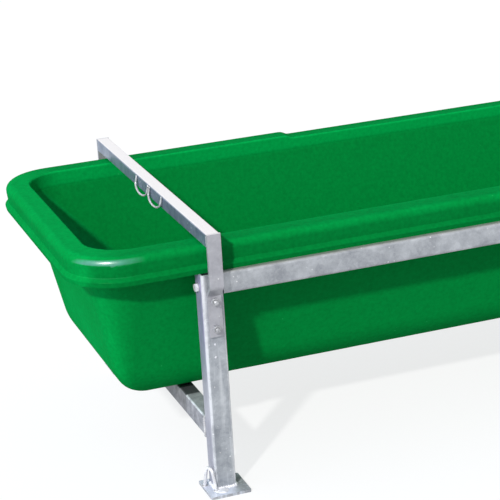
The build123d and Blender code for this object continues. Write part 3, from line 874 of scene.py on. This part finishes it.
# Painted light on the inner face just under the rim.
lip_light = product(tree, facing_in, span(tree, height, LIP_Z))
# The outer round of the rim's corners: a glossier coat and a painted bluish sky reflection.
crown_coat_and_reflection = product(
    tree, span(tree, along, CROWN_X), span(tree, height, CROWN_Z), facing_out,
    span(tree, sideways, CROWN_SIDEWAYS), span(tree, upwards, CROWN_NOT_LEVEL),
    span(tree, upwards, CROWN_NOT_STEEP))
# Painted shade on the rim's skirt, weaker at the ends.
skirt_shade = span(tree, along, SKIRT_X, (0.0, SKIRT_END_SHADE_SHARE))
skirt_shade = sums(tree, "MAXIMUM", span(tree, across, SKIRT_Y), skirt_shade)
skirt_shade = product(tree, skirt_shade, span(tree, height, SKIRT_Z))
# Painted shade on the faces of the long sides.
long_side_shade = span(tree, sideways, LONG_SIDE_SIDEWAYS, (0.0, LONG_SIDE_SHADE_SHARE))
long_side_shade = product(tree, long_side_shade, span(tree, height, LONG_SIDE_Z))
# Painted light in the sun's shadow inside the trough's ends, along that shadow's diagonal edge.
shadow_fill = sums(tree, "SUBTRACT", along, product(tree, height, SHADOW_FILL_SLOPE))
shadow_fill = product(tree, span(tree, shadow_fill, SHADOW_FILL_X), span(tree, height, SHADOW_FILL_Z), inside)

cloud = noise(tree, place, scale=7.0, detail=4.0, roughness=0.55).outputs["Fac"]
peel = noise(tree, place, scale=330.0).outputs["Fac"]
swell = noise(tree, place, scale=11.0, detail=1.0).outputs["Fac"]
mottle = noise(tree, place, scale=140.0, detail=3.0, roughness=0.6).outputs["Fac"]
scuffs = put(tree, "ShaderNodeTexVoronoi", {"Vector": place, "Scale": 60.0}).outputs["Distance"]
rare = span(tree, noise(tree, place, scale=9.0).outputs["Fac"], SCUFF_AREA_EDGE)
scuffs = product(tree, span(tree, scuffs, SCUFF_EDGE), rare)

# Painted shade on faces that look up, less towards the ends of the trough.
rim_top_shade = tint(tree, span(tree, along, RIM_TOP_X), *RIM_TOP_SHADE_GREENS)
colour = tint(tree, span(tree, cloud, MOST_NOISE), *BODY_GREENS)
colour = tint(tree, long_side_shade, colour, LONG_SIDE_SHADE_GREEN)
colour = tint(tree, lip_light, colour, LIP_LIGHT_GREEN)
level = span(tree, upwards, RIM_TOP_LEVEL, (0.0, RIM_TOP_SHADE_SHARE))
colour = tint(tree, level, colour, rim_top_shade)
colour = tint(tree, product(tree, inside, INSIDE_SHARE), colour, INSIDE_GREEN)
colour = tint(tree, shadow_fill, colour, SHADOW_FILL_GREEN)
colour = tint(tree, product(tree, skirt_shade, SKIRT_SHADE_SHARE), colour, SKIRT_SHADE_GREEN)
# A painted bluish sky reflection on the rim's corners.
colour = tint(tree, product(tree, crown_coat_and_reflection, CROWN_REFLECTION_SHARE), colour, CROWN_REFLECTION_GREEN)
colour = scaled(tree, colour, span(tree, mottle, MOST_NOISE, MOTTLE_TONE))
colour = tint(tree, product(tree, scuffs, SCUFF_SHARE), colour, SCUFF_GREEN)
tree.links.new(colour, shader.inputs["Base Color"])

rough = span(tree, cloud, MOST_NOISE, BODY_ROUGH)
rough = sums(tree, "ADD", rough, span(tree, mottle, MOST_NOISE, MOTTLE_ROUGH))
rough = sums(tree, "ADD", rough, product(tree, inside, INSIDE_ROUGH))
tree.links.new(rough, shader.inputs["Roughness"])
shader.inputs["Specular IOR Level"].default_value = 0.0
tree.links.new(span(tree, crown_coat_and_reflection, WHOLE, CROWN_COAT), shader.inputs["Coat Weight"])
shader.inputs["Coat IOR"].default_value = 2.2
shader.inputs["Coat Roughness"].default_value = 0.31
waves = product(tree, peel, PEEL_HEIGHT)
waves = sums(tree, "ADD", waves, product(tree, swell, SWELL_HEIGHT))
bump = put(tree, "ShaderNodeBump", {"Strength": 0.5, "Distance": 0.0012, "Height": waves})
for socket in ("Normal", "Coat Normal"):
    tree.links.new(bump.outputs["Normal"], shader.inputs[socket])
dress(green, "trough_shell")


# Stage: a plain pale floor under a sun from the front left and an even sky, brighter at the left
# end. The camera stands where the photograph was taken from.

FLOOR_HALF = 20.0
FLOOR_GREY = (0.42, 0.42, 0.42, 1.0)
FLOOR_PALE = (0.92, 0.92, 0.92, 1.0)
FLOOR_GLOW = 0.78
WHITE = (1.0, 1.0, 1.0, 1.0)
SKY_LOW = (0.33, 0.355, 0.39)
SKY_HIGH = (0.54, 0.58, 0.62)
SKY_HEIGHTS = (0.05, 0.75)
SKY_LEFT = (1.45, 1.68, 2.15)
SKY_LEFT_EDGE = (-0.25, -0.95)
TO_SUN = Vector((-0.535, -0.625, 0.568))


def seen_rays(tree):
    """One for the rays that show the background: from the camera, a reflection or glass."""
    rays = put(tree, "ShaderNodeLightPath").outputs
    shown = sums(tree, "MAXIMUM", rays["Is Camera Ray"], rays["Is Glossy Ray"])
    return sums(tree, "MAXIMUM", shown, rays["Is Transmission Ray"])


floor_mesh = bpy.data.meshes.new("floor")
floor_corners = [(-1, -1), (1, -1), (1, 1), (-1, 1)]
floor_corners = [(x * FLOOR_HALF, y * FLOOR_HALF, 0.0) for x, y in floor_corners]
floor_mesh.from_pydata(floor_corners, [], [(0, 1, 2, 3)])
floor = bpy.data.objects.new("floor", floor_mesh)
bpy.context.scene.collection.objects.link(floor)
pale = bpy.data.materials.new("pale_floor")
pale.use_nodes = True
tree = pale.node_tree
tree.nodes.remove(tree.nodes["Principled BSDF"])
lit = put(tree, "ShaderNodeBsdfDiffuse", {"Color": FLOOR_GREY}).outputs[0]
bright = put(tree, "ShaderNodeBsdfDiffuse", {"Color": FLOOR_PALE}).outputs[0]
white = put(tree, "ShaderNodeEmission", {"Color": WHITE, "Strength": 1.0}).outputs[0]
backdrop = put(tree, "ShaderNodeMixShader", {0: FLOOR_GLOW, 1: bright, 2: white}).outputs[0]
surface = put(tree, "ShaderNodeMixShader", {0: seen_rays(tree), 1: lit, 2: backdrop}).outputs[0]
tree.links.new(surface, tree.nodes["Material Output"].inputs["Surface"])
floor_mesh.materials.append(pale)

world = bpy.data.worlds.new("sky")
bpy.context.scene.world = world
world.use_nodes = True
tree = world.node_tree
way = axes(tree, put(tree, "ShaderNodeTexCoord").outputs["Generated"])
sky = tint(tree, span(tree, way["Z"], SKY_HEIGHTS), SKY_LOW, SKY_HIGH)
sky = tint(tree, span(tree, way["X"], SKY_LEFT_EDGE), sky, SKY_LEFT)
sky = tint(tree, seen_rays(tree), sky, WHITE[:3])
tree.links.new(sky, tree.nodes["Background"].inputs["Color"])

sun = bpy.data.objects.new("sun", bpy.data.lights.new("sun", "SUN"))
sun.data.energy = 3.0
sun.data.angle = radians(3)
sun.data.color = (1.0, 0.98, 0.95)
sun.rotation_euler = TO_SUN.to_track_quat("Z", "Y").to_euler()
bpy.context.scene.collection.objects.link(sun)

camera = bpy.data.objects.new("camera", bpy.data.cameras.new("camera"))
camera.location = (-1.5129, -3.089, 1.4515)
camera.rotation_euler = (radians(70.904), radians(3.343), radians(-20.027))
camera.data.sensor_width = 36.0
camera.data.lens = 129.28
bpy.context.scene.collection.objects.link(camera)
bpy.context.scene.camera = camera
bpy.context.scene.view_settings.view_transform = "Standard"
